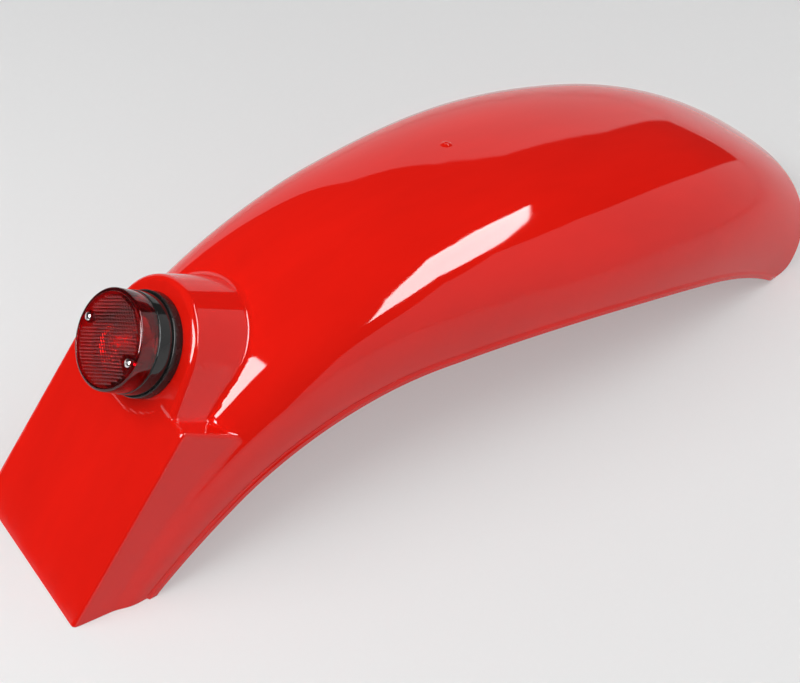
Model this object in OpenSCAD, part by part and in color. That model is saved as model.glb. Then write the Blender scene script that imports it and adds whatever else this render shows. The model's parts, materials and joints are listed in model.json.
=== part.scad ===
// Rear fender of an off-road motorcycle: one moulded shell with a number plate tail,
// a lamp pedestal and a round tail lamp. Millimetres, +X to the front, +Z up.
// The origin lies on the ground under the middle of the shell's length.

/* [Crown line] */
// How far the crown line's tail end lies in front of the rear edge
crown_tail_x = 24.5; // [22:0.5:27]
// Height of the crown line's tail end over the ground
crown_tail_z = 20; // [17:0.5:23]
// Slope of the crown line at its tail end, in degrees
crown_slope = 52; // [50:0.5:54]
// Radius of the nearly straight tail arc
tail_arc_r = 585; // [500:5:700]
// Turn of the tail arc, in degrees
tail_arc_deg = 10; // [9:0.5:11.5]
// Radius of the bend under the lamp
bend_arc_r = 291; // [265:1:320]
// Turn of the bend, in degrees
bend_arc_deg = 42.4; // [40:0.2:44]
// Radius of the long front arc over the wheel
front_arc_r = 780; // [720:5:840]
// Turn of the front arc, in degrees
front_arc_deg = 18.6; // [17:0.2:20]
// Radius of the nose arc, which comes down to the front edge
nose_arc_r = 392; // [370:2:420]

/* [Arch section] */
// Width of the arch at the tail
width_tail = 152; // [148:1:160]
// Width of the arch a third of the way along
width_waist = 176; // [168:1:186]
// Width of the arch two thirds of the way along
width_shoulder = 233; // [220:1:244]
// Width of the arch at the front edge
width_front = 213; // [204:1:226]
// Depth from crown to rim at the tail
depth_tail = 37; // [34:0.5:42]
// Depth from crown to rim a third of the way along
depth_waist = 74; // [69:1:80]
// Depth from crown to rim two thirds of the way along
depth_shoulder = 77; // [72:1:84]
// Depth from crown to rim at the front edge
depth_front = 83.5; // [79:0.5:90]
// Squareness of the arch section: 2 is an ellipse, more is squarer
section_power = 2.5; // [2.2:0.1:3]
// Wall of the moulding
wall = 2.8; // [2:0.1:3.4]
// Height of the thickened lip along the rim
lip_h = 4.5; // [3:0.5:7]
// How far the lip stands out of the skirt
lip_out = 1.8; // [1:0.1:3]
// Radius of the two lower corners of the front edge
front_corner_r = 22; // [12:1:30]

/* [Number plate tail] */
// Slope of the plate over the ground, in degrees
plate_slope = 49.6; // [47:0.2:52]
// Width of the plate at its rear edge
plate_foot_w = 137; // [128:1:144]
// Width of the plate at the ledge
plate_top_w = 132; // [124:1:140]
// Distance up the plate from its rear edge to the ledge
ledge_p = 157; // [150:1:164]
// Outward draft of the tail's side walls, in degrees
side_draft = 10.4; // [8:0.2:13]
// Draft of the ledge, in degrees
ledge_draft = 9.6; // [7:0.2:12]
// Depth of the tail box at the ledge
box_depth_top = 46; // [42:1:52]
// Depth of the tail box at its foot
box_depth_foot = 31; // [28:1:36]
// Rounding of the tail's edges
tail_edge_r = 4; // [3:0.1:5]

/* [Lamp pedestal] */
// Distance up the plate from its rear edge to the lamp's axis
lamp_p = 178.5; // [174:0.5:184]
// Height of the pad's centre over the plane of the plate
pad_raise = 1.3; // [1.2:0.1:3]
// How much the pad leans back from the plate, in degrees
pad_tilt = 1.6; // [0:0.1:2]
// Radius of the pedestal round the lamp
ped_r = 46.5; // [43:0.5:50]
// Distance from the lamp's axis down to the pedestal's shoulders
ped_foot = 26; // [24:0.5:30]
// Width of the pedestal at its shoulders
ped_foot_w = 103; // [96:1:108]
// Distance from the lamp's axis up to where the straight sides start
ped_side_top = 14; // [8:1:20]
// Draft of the pedestal's walls, in degrees
ped_draft = 7.6; // [5:0.2:10]
// Rounding of the pedestal's face edge
ped_edge_r = 4; // [3.5:0.1:6]
// Depth of the pedestal behind its face, into the arch
ped_depth = 64; // [60:1:72]

/* [Moulding mark] */
// Distance along the crown line from its tail end to the gate mark
gate_s = 399; // [340:1:420]
// Distance of the gate mark to the left of the middle
gate_y = 22; // [0:1:30]
// Diameter of the gate mark
gate_d = 6; // [4:0.5:9]
// Height of the gate mark
gate_h = 1; // [0.5:0.1:2]

/* [Lamp lens] */
// Outer radius of the lens
lens_r = 33; // [31.5:0.1:36]
// Height of the lens face over the pad
lamp_h = 31.5; // [30.5:0.5:34]
// Thickness of the lens face
lens_face_t = 2.4; // [1.8:0.1:3]
// Wall of the lens
lens_wall = 2.2; // [1.8:0.1:2.6]
// Wall of the lens's spigot inside the base
spigot_wall = 2; // [1.5:0.1:2.4]
// Depth of the spigot inside the base
spigot_h = 2; // [1.5:0.1:2.5]
// Thickness of the lens wall's foot, which carries the spigot
spigot_root = 1; // [0.8:0.1:1.4]
// Rounding of the lens's face edge
lens_edge_r = 1.6; // [1:0.1:2]
// Depth of the prism field under the lens's plain rim
prism_sink = 0.6; // [0.3:0.1:0.9]
// Width of the lens's plain rim
lens_rim_w = 2.6; // [2:0.1:3.4]
// Radius of the plain pads round the lens screws
screw_pad_r = 4.6; // [4.2:0.1:5.4]
// Distance from the lamp's axis to each lens screw
screw_offset = 26; // [25:0.1:26.6]
// Radius of the lens's screw posts
post_r = 3.8; // [3.4:0.1:4.2]
// Thickness of the seal under the lens
seal_t = 0.8; // [0.5:0.1:1.2]

/* [Lamp base] */
// Wall of the lamp base
base_wall = 2.4; // [2:0.1:3]
// How far the base stands out of the lens
base_out = 0.4; // [0.2:0.1:0.8]
// Floor of the lamp base
base_floor = 2.5; // [2:0.1:3]
// Height of the base's rim over the pad
base_top = 17.2; // [16:0.1:18]
// Radius of the base's screw bosses
boss_r = 3.6; // [3.3:0.1:3.9]
// How far the bosses end under the base's rim
boss_drop = 3; // [2.8:0.1:4]
// Inner radius of the ring that carries the reflector
ring_r = 20.2; // [20:0.1:20.6]
// Wall of that ring
ring_wall = 1.6; // [1.2:0.1:1.8]
// Height of the ring's top over the pad
ring_top = 11; // [10.6:0.1:12.5]

/* [Gasket] */
// Floor of the rubber gasket under the base
gasket_floor = 2; // [1.5:0.1:3]
// Wall of the gasket's collar
gasket_wall = 1.4; // [1:0.1:2]
// Height of the gasket's collar over the pad
gasket_h = 6.8; // [5:0.1:9]

/* [Bulb] */
// Radius of the bulb's cap
cap_r = 7.5; // [7:0.1:7.8]
// Length of the bulb's cap
cap_len = 14.5; // [13:0.5:16]
// Height of the cap's mouth over the pad
cap_top = 7.5; // [7:0.1:8]
// Largest radius of the bulb's glass
glass_r = 9.5; // [9:0.1:9.7]
// Length of the glass out of the cap
glass_len = 20; // [18:0.5:21]
// Radius of the glass's neck
neck_r = 6.6; // [6:0.1:6.9]
// Radius of the cap's two bayonet pins
pin_r = 1; // [0.8:0.1:1.2]
// Height of the bayonet pins over the pad
pin_z = 1.5; // [0.5:0.1:2.5]
// How far the bayonet pins stand out of the cap
pin_out = 1; // [0.8:0.1:1.2]

/* [Bulb holder] */
// Wall of the bulb holder's tube
holder_wall = 0.9; // [0.7:0.1:1.1]
// Height of the holder's mouth over the pad
holder_top = 7.4; // [6.6:0.1:7.5]
// Width of the holder's flange round the tube
flange_w = 2.2; // [1.8:0.1:2.4]
// Thickness of the holder's flange
flange_t = 0.9; // [0.7:0.1:1.2]
// Thickness of the holder's back
holder_back = 1; // [0.8:0.1:1.4]
// Room for the spring behind the insulator
spring_room = 4.6; // [4:0.1:6]
// Thickness of the contact's insulator
insulator_t = 1.9; // [1.5:0.1:2.5]
// Radius of the centre contact's head
contact_head_r = 3; // [2.5:0.1:3.6]
// Thickness of the centre contact's head
contact_head_t = 0.6; // [0.4:0.1:0.9]
// Radius of the centre contact's stem
contact_r = 1.5; // [1.2:0.1:1.8]
// How far the contact's tail stands out of the holder
contact_tail = 4; // [3:0.5:6]
// Radius of the spring's coil
coil_r = 5; // [4.2:0.1:6]
// Radius of the spring's wire
coil_wire_r = 0.5; // [0.4:0.05:0.6]
// Turns of the spring
coil_turns = 3; // [2:1:4]

/* [Reflector] */
// Sheet of the reflector
dish_t = 0.6; // [0.4:0.1:0.8]
// Height of the reflector's centre over the pad
dish_bottom = 8.8; // [8.4:0.1:9.4]
// Gap between the reflector's hole and the glass
dish_gap = 0.8; // [0.5:0.1:1]

/* [Fasteners] */
// Radius of the lens screws' thread
screw_r = 1.6; // [1.4:0.1:1.7]
// Radius of the lens screws' heads
screw_head_r = 2.9; // [2.6:0.1:3.2]
// Height of the lens screws' heads
screw_head_h = 1.8; // [1.4:0.1:2.2]
// Depth of the recess under each lens screw's head
screw_sink = 1; // [0.6:0.1:1.2]
// Distance from the lamp's axis to each base bolt
bolt_offset = 16; // [15.8:0.1:16.2]
// Radius of the base bolts
bolt_r = 2.5; // [2:0.1:2.6]
// Radius of the base bolts' heads
bolt_head_r = 3.9; // [3.4:0.1:4]
// Height of the base bolts' heads
bolt_head_h = 2.8; // [2.2:0.1:3]
// How far the bolts stand out of their nuts
bolt_end = 2.5; // [1:0.5:5]
// Outer radius of the washers
washer_r = 5; // [4.6:0.1:5.6]
// Thickness of the washers
washer_t = 1; // [0.8:0.1:1.4]
// Radius of the nuts across their corners
nut_r = 4.6; // [4.2:0.1:5]
// Height of the nuts
nut_h = 4; // [3.2:0.1:5]
// Gap all round a bolt or screw in its hole
hole_gap = 0.25; // [0.15:0.05:0.4]
// Gap under the gasket and under the washers, where they lie on the pad
seat_gap = 0.05; // [0.02:0.01:0.08]
// Gap all round pieces that slide into each other
slide_gap = 0.15; // [0.1:0.05:0.3]
// Depth of the slot across the lens screws' heads
slot_d = 0.8; // [0.5:0.1:1]
// Width of that slot
slot_w = 0.9; // [0.6:0.1:1.2]

/* [Hidden] */

// Steps of the lofted arch along its length, and of half its section
LOFT_STEPS = 42;
HALF_STEPS = 16;
// How far the cutting shapes run past the solid that they cut
PAST = 20;
// How far the arch and the tail box run on under the ground before they are cut off
BURIED = 34;
ROUND = 48;
CORNER = 24;
DEG = 180 / PI;

// The crown line, in the plane of symmetry, as four arcs that follow on smoothly
bend_s = tail_arc_r * tail_arc_deg / DEG;
front_s = bend_s + bend_arc_r * bend_arc_deg / DEG;
nose_s = front_s + front_arc_r * front_arc_deg / DEG;
bend_phi = crown_slope - tail_arc_deg;
front_phi = bend_phi - bend_arc_deg;
nose_phi = front_phi - front_arc_deg;
function along(p, r, phi0, phi1) = p + r * [sin(phi0) - sin(phi1), cos(phi1) - cos(phi0)];
crown_tail = [crown_tail_x, crown_tail_z];
bend_start = along(crown_tail, tail_arc_r, crown_slope, bend_phi);
front_start = along(bend_start, bend_arc_r, bend_phi, front_phi);
nose_start = along(front_start, front_arc_r, front_phi, nose_phi);
// The nose arc ends where the front edge's rounded lower corner touches the ground
nose_centre = nose_start + nose_arc_r * [sin(nose_phi), -cos(nose_phi)];
corner_reach = nose_arc_r - depth_front + front_corner_r;
end_phi = -atan2(front_corner_r, corner_reach)
    - acos((front_corner_r - nose_centre[1]) / norm([corner_reach, front_corner_r]));
crown_len = nose_s + nose_arc_r * (nose_phi - end_phi) / DEG;
// A point of the crown line and its slope, at a distance from the tail end
function crown_phi(s) =
    s < bend_s ? crown_slope - s / tail_arc_r * DEG :
    s < front_s ? bend_phi - (s - bend_s) / bend_arc_r * DEG :
    s < nose_s ? front_phi - (s - front_s) / front_arc_r * DEG :
    nose_phi - (s - nose_s) / nose_arc_r * DEG;
function crown_point(s) =
    s < bend_s ? along(crown_tail, tail_arc_r, crown_slope, crown_phi(s)) :
    s < front_s ? along(bend_start, bend_arc_r, bend_phi, crown_phi(s)) :
    s < nose_s ? along(front_start, front_arc_r, front_phi, crown_phi(s)) :
    along(nose_start, nose_arc_r, nose_phi, crown_phi(s));
shell_len = crown_point(crown_len)[0];

// A smooth curve through four sizes spaced evenly from tail to front
WIDTHS = [width_tail, width_waist, width_shoulder, width_front];
DEPTHS = [depth_tail, depth_waist, depth_shoulder, depth_front];
function blend(a, b, c, d, u) =
    (2 * b + (c - a) * u + (2 * a - 5 * b + 4 * c - d) * u * u + (3 * b - a - 3 * c + d) * u * u * u) / 2;
function span(k, i, u) = blend(i > 0 ? k[i - 1] : 2 * k[0] - k[1], k[i], k[i + 1],
    i < 2 ? k[i + 2] : 2 * k[3] - k[2], u);
function sized(k, s) = let (x = 3 * min(max(s / crown_len, 0), 1), i = min(floor(x), 2)) span(k, i, x - i);

// The arch's section as points [y, h], h from the crown downwards, from one rim to the other
function power(a) = pow(abs(a), 2 / section_power);
function section_angle(i) = let (v = i / HALF_STEPS) 90 * sign(v) * (1 - pow(1 - abs(v), 1.6));
function arch_curve(half_w, top, foot) = [for (i = [-HALF_STEPS : HALF_STEPS]) let (a = section_angle(i))
    [sign(a) * half_w * power(sin(a)), -top - (foot - top) * (1 - power(cos(a)))]];
function mirrored_ends(rim, curve) = concat([for (p = rim) [-p[0], p[1]]], curve,
    [for (i = [len(rim) - 1 : -1 : 0]) rim[i]]);
function outer_section(s) = let (w = sized(WIDTHS, s) / 2, d = sized(DEPTHS, s))
    mirrored_ends([[w + lip_out, -d], [w + lip_out, lip_h - d]], arch_curve(w, 0, d - lip_h - lip_out));
function inner_section(s) = let (w = sized(WIDTHS, s) / 2 - wall, d = sized(DEPTHS, s))
    mirrored_ends([[w, -d - PAST]], arch_curve(w, wall, d - lip_h - lip_out));
// Sets a section square to the crown line, at a distance s along it
function placed(points, s) = let (c = crown_point(s), phi = crown_phi(s))
    [for (p = points) [c[0] - sin(phi) * p[1], p[0], c[1] + cos(phi) * p[1]]];

module loft(sections) {
    m = len(sections[0]);
    n = len(sections);
    points = [for (section = sections) each section];
    sides = [for (i = [0 : n - 2], j = [0 : m - 1]) let (k = (j + 1) % m)
        each [[i * m + j, i * m + k, (i + 1) * m + k], [i * m + j, (i + 1) * m + k, (i + 1) * m + j]]];
    first = [for (j = [m - 1 : -1 : 0]) j];
    last = [for (j = [0 : m - 1]) (n - 1) * m + j];
    polyhedron(points, concat([first], sides, [last]), convexity = 6);
}

function station(i, from, to) = from + (to - from) * i / LOFT_STEPS;
module arch() {
    loft([for (i = [0 : LOFT_STEPS]) let (s = station(i, -BURIED, crown_len)) placed(outer_section(s), s)]);
}
module arch_hollow() {
    loft([for (i = [0 : LOFT_STEPS]) let (s = station(i, -BURIED - PAST, crown_len + PAST))
        placed(inner_section(s), s)]);
}

// Places that the tail and the lamp are drawn in
module row_frame() translate([-shell_len / 2, 0, 0]) children();
module plate_frame() rotate([0, -plate_slope, 0]) children();
module pad_frame() plate_frame() translate([lamp_p, 0, pad_raise]) rotate([0, -pad_tilt, 0]) children();
module lamp_frame() row_frame() pad_frame() translate([0, 0, seat_gap]) children();

// The tail box under the plate, as the moulding's outer form or, with a wall, its hollow
function plate_half_w(p) = (plate_foot_w + (plate_top_w - plate_foot_w) * p / ledge_p) / 2;
module box_corner(p, depth, inset) {
    spread = (depth - tail_edge_r) * tan(side_draft);
    for (side = [-1, 1])
        translate([p, side * (plate_half_w(p) - tail_edge_r + spread), -depth])
            sphere(r = tail_edge_r - inset, $fn = CORNER);
}
module tail_box(inset = 0) {
    deeper = inset > 0 ? PAST : 0;
    top = ledge_p - tail_edge_r;
    top_depth = box_depth_top + deeper;
    plate_frame() hull() {
        box_corner(top, tail_edge_r, inset);
        box_corner(-BURIED, tail_edge_r, inset);
        box_corner(top + top_depth * tan(ledge_draft), top_depth, inset);
        box_corner(-BURIED, box_depth_foot + deeper, inset);
    }
}

// The pedestal round the lamp: a drafted round boss with straight shoulders down to the ledge
module ped_round(inset) {
    hull() {
        translate([0, 0, -ped_edge_r]) rotate_extrude($fn = 2 * ROUND)
            translate([ped_r - ped_edge_r, 0]) circle(ped_edge_r - inset, $fn = CORNER);
        translate([0, 0, -ped_depth])
            cylinder(h = 1, r = ped_r - inset + ped_depth * tan(ped_draft), $fn = 2 * ROUND);
    }
}
module ped_shoulders(inset) {
    foot_y = ped_foot_w / 2 - ped_edge_r;
    side_y = sqrt(ped_r * ped_r - ped_side_top * ped_side_top) - ped_edge_r;
    spread = ped_depth * tan(ped_draft);
    for (side = [-1, 1]) hull() {
        for (corner = [[ped_edge_r - ped_foot, foot_y], [ped_side_top, side_y]]) {
            translate([corner[0], side * corner[1], -ped_edge_r]) sphere(r = ped_edge_r - inset, $fn = CORNER);
            translate([corner[0], side * (corner[1] + spread), -ped_depth])
                sphere(r = ped_edge_r - inset, $fn = CORNER);
        }
        for (depth = [ped_edge_r, ped_depth]) translate([ped_edge_r - ped_foot, side * foot_y / 2, -depth])
            sphere(r = ped_edge_r - inset, $fn = CORNER);
    }
}
module pedestal(inset = 0) pad_frame() {
    ped_round(inset);
    ped_shoulders(inset);
}

// Cuts the two lower corners of the front edge round
module front_corners() {
    end = crown_point(crown_len);
    translate([end[0], 0, end[1]]) rotate([0, -end_phi, 0])
        translate([0, width_shoulder, -depth_front]) rotate([90, 0, 0])
            linear_extrude(2 * width_shoulder) difference() {
                translate([-front_corner_r, -PAST]) square([front_corner_r + PAST, front_corner_r + PAST]);
                translate([-front_corner_r, front_corner_r]) circle(front_corner_r, $fn = ROUND);
            }
}

// How far the arch's section falls away from the crown line, at a distance y from the middle
function crown_drop(y, s) = let (v = 2 * abs(y) / sized(WIDTHS, s))
    (sized(DEPTHS, s) - lip_h - lip_out) * (1 - pow(1 - pow(v, section_power), 1 / section_power));
module gate_mark() {
    at = crown_point(gate_s);
    translate([at[0], gate_y, at[1]]) rotate([0, -crown_phi(gate_s), 0])
        translate([0, 0, -crown_drop(gate_y, gate_s)]) hull() {
            translate([0, 0, -wall / 2]) cylinder(h = (wall + gate_h) / 2, d = gate_d, $fn = CORNER);
            cylinder(h = gate_h, d = gate_d / 2, $fn = CORNER);
        }
}

// Holes in the pad for the two base bolts and the bulb holder
module pad_holes() pad_frame() translate([0, 0, -ped_edge_r * 2]) {
    for (side = [-1, 1]) translate([side * bolt_offset, 0, 0])
        cylinder(h = ped_edge_r * 3, r = bolt_r + hole_gap, $fn = CORNER);
    cylinder(h = ped_edge_r * 3, r = holder_r + 2 * hole_gap, $fn = ROUND);
}

module under_ground() {
    reach = 2 * shell_len;
    translate([-reach / 2, -width_shoulder, -reach]) cube([2 * reach, 2 * width_shoulder, reach]);
}

module fender_shell() color("red") row_frame() difference() {
    union() {
        arch();
        tail_box();
        pedestal();
        gate_mark();
    }
    arch_hollow();
    tail_box(wall);
    pedestal(wall);
    pad_holes();
    front_corners();
    under_ground();
}

// Heights and radii in the lamp, from the pad's face outwards
holder_r = cap_r + slide_gap + holder_wall;
base_r = lens_r + base_out;
base_bore = base_r - base_wall;
floor_top = gasket_floor + base_floor;
boss_top = base_top - boss_drop;
lens_foot = base_top + seal_t;
cap_foot = cap_top - cap_len;
insulator_foot = cap_foot - contact_head_t - insulator_t;
holder_foot = insulator_foot - spring_room;

module at_screw(side) lamp_frame() translate([0, side * screw_offset, 0]) children();
module at_bolt(side) lamp_frame() translate([side * bolt_offset, 0, 0]) children();
module tube(z0, z1, outer, inner) {
    translate([0, 0, z0]) difference() {
        cylinder(h = z1 - z0, r = outer, $fn = ROUND);
        translate([0, 0, -1]) cylinder(h = z1 - z0 + 2, r = inner, $fn = ROUND);
    }
}

module lamp_gasket() color("#161616") lamp_frame() difference() {
    cylinder(h = gasket_h, r = base_r + slide_gap + gasket_wall, $fn = ROUND);
    translate([0, 0, gasket_floor]) cylinder(h = gasket_h, r = base_r + slide_gap, $fn = ROUND);
    translate([0, 0, -1]) cylinder(h = gasket_h, r = holder_r + 2 * hole_gap, $fn = ROUND);
    for (side = [-1, 1]) translate([side * bolt_offset, 0, -1])
        cylinder(h = gasket_h, r = bolt_r + hole_gap, $fn = ROUND);
}

module lamp_base() color("#1c1c1c") lamp_frame() difference() {
    union() {
        tube(gasket_floor, base_top, base_r, base_bore);
        tube(gasket_floor, floor_top, base_r - base_wall / 2, holder_r + hole_gap);
        tube(floor_top - base_floor / 2, ring_top, ring_r + ring_wall, ring_r);
        for (side = [-1, 1]) translate([0, side * screw_offset, floor_top - base_floor / 2])
            cylinder(h = boss_top - floor_top + base_floor / 2, r = boss_r, $fn = ROUND);
    }
    for (side = [-1, 1]) {
        translate([0, side * screw_offset, floor_top]) cylinder(h = base_top, r = screw_r + slide_gap, $fn = ROUND);
        translate([side * bolt_offset, 0, 0]) cylinder(h = floor_top + 1, r = bolt_r + hole_gap, $fn = ROUND);
    }
}

module reflector() color("silver") lamp_frame() {
    hole = glass_r + dish_gap;
    seat = ring_r + ring_wall;
    rise = ring_top - dish_bottom;
    steps = 8;
    dish = [for (i = [0 : steps]) let (u = i / steps)
        [hole + (ring_r - hole) * u, dish_bottom + rise * u * u]];
    rotate_extrude($fn = ROUND) polygon(concat(dish, [[seat, ring_top], [seat, ring_top + dish_t]],
        [for (i = [steps : -1 : 0]) dish[i] + [0, dish_t]]));
}

module bulb_holder() color("lightgray") lamp_frame() difference() {
    union() {
        tube(holder_foot, holder_top, holder_r, cap_r + slide_gap);
        tube(holder_foot - holder_back, holder_foot, holder_r, 2 * contact_r);
        tube(floor_top, floor_top + flange_t, holder_r + flange_w, cap_r + slide_gap);
    }
    for (turn = [0, 180]) rotate([0, 0, turn]) {
        slot_half = pin_r + hole_gap;
        translate([cap_r / 2, -slot_half, pin_z - slot_half])
            cube([holder_r, 2 * slot_half, holder_top - pin_z + slot_half + 1]);
    }
}

// A coil spring, swept as a tube round its helix
COIL_SIDES = 8;
COIL_RINGS = coil_turns * 20;
function coil_point(i, j) = let (a = 360 * coil_turns * i / COIL_RINGS, b = 360 * j / COIL_SIDES,
    r = coil_r + coil_wire_r * cos(b), rise = (spring_room - 2 * coil_wire_r) * i / COIL_RINGS)
    [r * cos(a), r * sin(a), holder_foot + coil_wire_r + rise + coil_wire_r * sin(b)];
module contact_spring() color("silver") lamp_frame() {
    n = COIL_SIDES;
    points = [for (i = [0 : COIL_RINGS], j = [0 : n - 1]) coil_point(i, j)];
    skin = [for (i = [0 : COIL_RINGS - 1], j = [0 : n - 1]) let (k = (j + 1) % n)
        each [[i * n + j, (i + 1) * n + k, (i + 1) * n + j], [i * n + j, i * n + k, (i + 1) * n + k]]];
    first = [for (j = [n - 1 : -1 : 0]) j];
    last = [for (j = [0 : n - 1]) COIL_RINGS * n + j];
    polyhedron(points, concat([first], skin, [last]), convexity = 6);
}

module contact_insulator() color("#7a4a22") lamp_frame()
    tube(insulator_foot, insulator_foot + insulator_t, cap_r, contact_r + slide_gap);

module centre_contact() color("#b08d3c") lamp_frame() {
    tail_z = holder_foot - holder_back - contact_tail;
    translate([0, 0, tail_z]) cylinder(h = cap_foot - contact_head_t / 2 - tail_z, r = contact_r, $fn = ROUND);
    translate([0, 0, cap_foot - contact_head_t]) cylinder(h = contact_head_t, r = contact_head_r, $fn = ROUND);
}

module bulb_cap() color("#b08d3c") lamp_frame() {
    translate([0, 0, cap_foot]) cylinder(h = cap_len, r = cap_r, $fn = ROUND);
    translate([-cap_r - pin_out, 0, pin_z]) rotate([0, 90, 0])
        cylinder(h = 2 * (cap_r + pin_out), r = pin_r, $fn = CORNER);
}

module bulb_glass() color("#fff2cc") lamp_frame() {
    steps = 20;
    ball_z = cap_top + glass_len - glass_r;
    neck_z = ball_z - sqrt(glass_r * glass_r - neck_r * neck_r);
    start = asin((neck_z - ball_z) / glass_r);
    rotate_extrude($fn = ROUND) polygon(concat([[0, cap_top], [neck_r, cap_top]],
        [for (i = [0 : steps]) let (a = start + (90 - start) * i / steps)
            [glass_r * cos(a), ball_z + glass_r * sin(a)]]));
}

module lens_seal() color("#161616") lamp_frame()
    tube(base_top, lens_foot, lens_r, base_bore + slide_gap);

module lens() color("#8c0f12") lamp_frame() {
    bore = lens_r - lens_wall;
    spigot_r = base_bore - slide_gap;
    roof = lamp_h - lens_face_t;
    steps = 6;
    edge = [for (i = [0 : steps]) let (a = 90 * i / steps)
        [lens_r - lens_edge_r + lens_edge_r * cos(a), lamp_h - lens_edge_r + lens_edge_r * sin(a)]];
    difference() {
        union() {
            rotate_extrude($fn = 2 * ROUND) polygon(concat(
                [[spigot_r - spigot_wall, lens_foot - spigot_h], [spigot_r, lens_foot - spigot_h],
                 [spigot_r, lens_foot], [lens_r, lens_foot]], edge,
                [[0, lamp_h], [0, roof], [bore, roof], [bore, lens_foot + spigot_root],
                 [spigot_r - spigot_wall, lens_foot + spigot_root]]));
            for (side = [-1, 1]) translate([0, side * screw_offset, boss_top])
                cylinder(h = roof - boss_top + 1, r = post_r, $fn = ROUND);
        }
        difference() {
            translate([0, 0, lamp_h - prism_sink]) cylinder(h = 2, r = lens_r - lens_rim_w, $fn = 2 * ROUND);
            for (side = [-1, 1]) translate([0, side * screw_offset, 0])
                cylinder(h = lamp_h + 3, r = screw_pad_r, $fn = ROUND);
        }
        for (side = [-1, 1]) translate([0, side * screw_offset, 0]) {
            translate([0, 0, boss_top - 1]) cylinder(h = lamp_h, r = screw_r + hole_gap, $fn = ROUND);
            translate([0, 0, lamp_h - screw_sink]) cylinder(h = 3, r = screw_head_r + hole_gap, $fn = ROUND);
        }
    }
}

module lens_screw(side) color("#c8c8c8") at_screw(side) {
    head_z = lamp_h - screw_sink;
    dome_r = (screw_head_r * screw_head_r + screw_head_h * screw_head_h) / (2 * screw_head_h);
    difference() {
        union() {
            intersection() {
                translate([0, 0, head_z]) cylinder(h = screw_head_h, r = screw_head_r, $fn = ROUND);
                translate([0, 0, head_z + screw_head_h - dome_r]) sphere(r = dome_r, $fn = ROUND);
            }
            translate([0, 0, floor_top + 1]) cylinder(h = head_z - floor_top - 0.5, r = screw_r, $fn = ROUND);
        }
        rotate([0, 0, 35 * side]) translate([-screw_head_r, -slot_w / 2, head_z + screw_head_h - slot_d])
            cube([2 * screw_head_r, slot_w, slot_d + 1]);
    }
}
module lens_screw_left() lens_screw(1);
module lens_screw_right() lens_screw(-1);

washer_top = -wall - 2 * seat_gap;
washer_foot = washer_top - washer_t;
nut_foot = washer_foot - nut_h;
module base_bolt(side) color("#9a9a9a") at_bolt(side) {
    translate([0, 0, floor_top]) difference() {
        cylinder(h = bolt_head_h, r = bolt_head_r, $fn = ROUND);
        translate([-bolt_head_r, -slot_w / 2, bolt_head_h - slot_d]) cube([2 * bolt_head_r, slot_w, slot_d + 1]);
    }
    translate([0, 0, nut_foot - bolt_end]) cylinder(h = floor_top - nut_foot + bolt_end + 1, r = bolt_r, $fn = ROUND);
}
module base_bolt_upper() base_bolt(1);
module base_bolt_lower() base_bolt(-1);

module base_washer(side) color("#b5b5b5") at_bolt(side) tube(washer_foot, washer_top, washer_r, bolt_r + slide_gap);
module base_washer_upper() base_washer(1);
module base_washer_lower() base_washer(-1);

module base_nut(side) color("#8f8f8f") at_bolt(side) difference() {
    translate([0, 0, nut_foot]) cylinder(h = nut_h, r = nut_r, $fn = 6);
    translate([0, 0, nut_foot - 1]) cylinder(h = nut_h + 2, r = bolt_r + slide_gap / 2, $fn = ROUND);
}
module base_nut_upper() base_nut(1);
module base_nut_lower() base_nut(-1);

fender_shell();
lamp_gasket();
lamp_base();
reflector();
bulb_holder();
contact_spring();
contact_insulator();
centre_contact();
bulb_cap();
bulb_glass();
lens_seal();
lens();
lens_screw_left();
lens_screw_right();
base_bolt_upper();
base_bolt_lower();
base_washer_upper();
base_washer_lower();
base_nut_upper();
base_nut_lower();
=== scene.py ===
import json
import math

import bmesh
import bpy
import numpy as np
from mathutils import Matrix, Vector, geometry


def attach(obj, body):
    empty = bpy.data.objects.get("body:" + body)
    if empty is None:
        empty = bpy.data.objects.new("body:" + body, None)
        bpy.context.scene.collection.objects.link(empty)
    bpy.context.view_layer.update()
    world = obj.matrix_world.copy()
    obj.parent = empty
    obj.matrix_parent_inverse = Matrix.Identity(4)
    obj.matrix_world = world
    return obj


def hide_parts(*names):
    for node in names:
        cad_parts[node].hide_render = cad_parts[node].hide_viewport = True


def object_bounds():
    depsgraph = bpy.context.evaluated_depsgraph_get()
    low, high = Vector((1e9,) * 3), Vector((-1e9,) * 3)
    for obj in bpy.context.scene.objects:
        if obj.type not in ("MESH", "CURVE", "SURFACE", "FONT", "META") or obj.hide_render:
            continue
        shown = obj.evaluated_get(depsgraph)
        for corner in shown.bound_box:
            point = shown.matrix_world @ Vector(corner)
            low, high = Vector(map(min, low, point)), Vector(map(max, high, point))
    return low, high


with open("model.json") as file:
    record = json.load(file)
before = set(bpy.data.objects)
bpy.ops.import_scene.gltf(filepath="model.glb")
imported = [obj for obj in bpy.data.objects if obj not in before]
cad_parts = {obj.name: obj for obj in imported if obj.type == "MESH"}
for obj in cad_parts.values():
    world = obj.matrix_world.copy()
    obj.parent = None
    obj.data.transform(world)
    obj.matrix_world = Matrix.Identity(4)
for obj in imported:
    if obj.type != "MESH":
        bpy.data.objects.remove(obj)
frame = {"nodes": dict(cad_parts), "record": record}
CAD_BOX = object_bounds()

bl_info = {
    "name": "Rear fender builder",
    "version": (1, 0, 0),
    "blender": (4, 5, 0),
    "location": "3D View > Sidebar > Fender",
    "description": "Builds a moulded rear fender with its tail lamp round the packed CAD frame",
    "category": "Add Mesh",
}

PARTS = {}
BODY = "root"


# Sizes that a user would change

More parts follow.
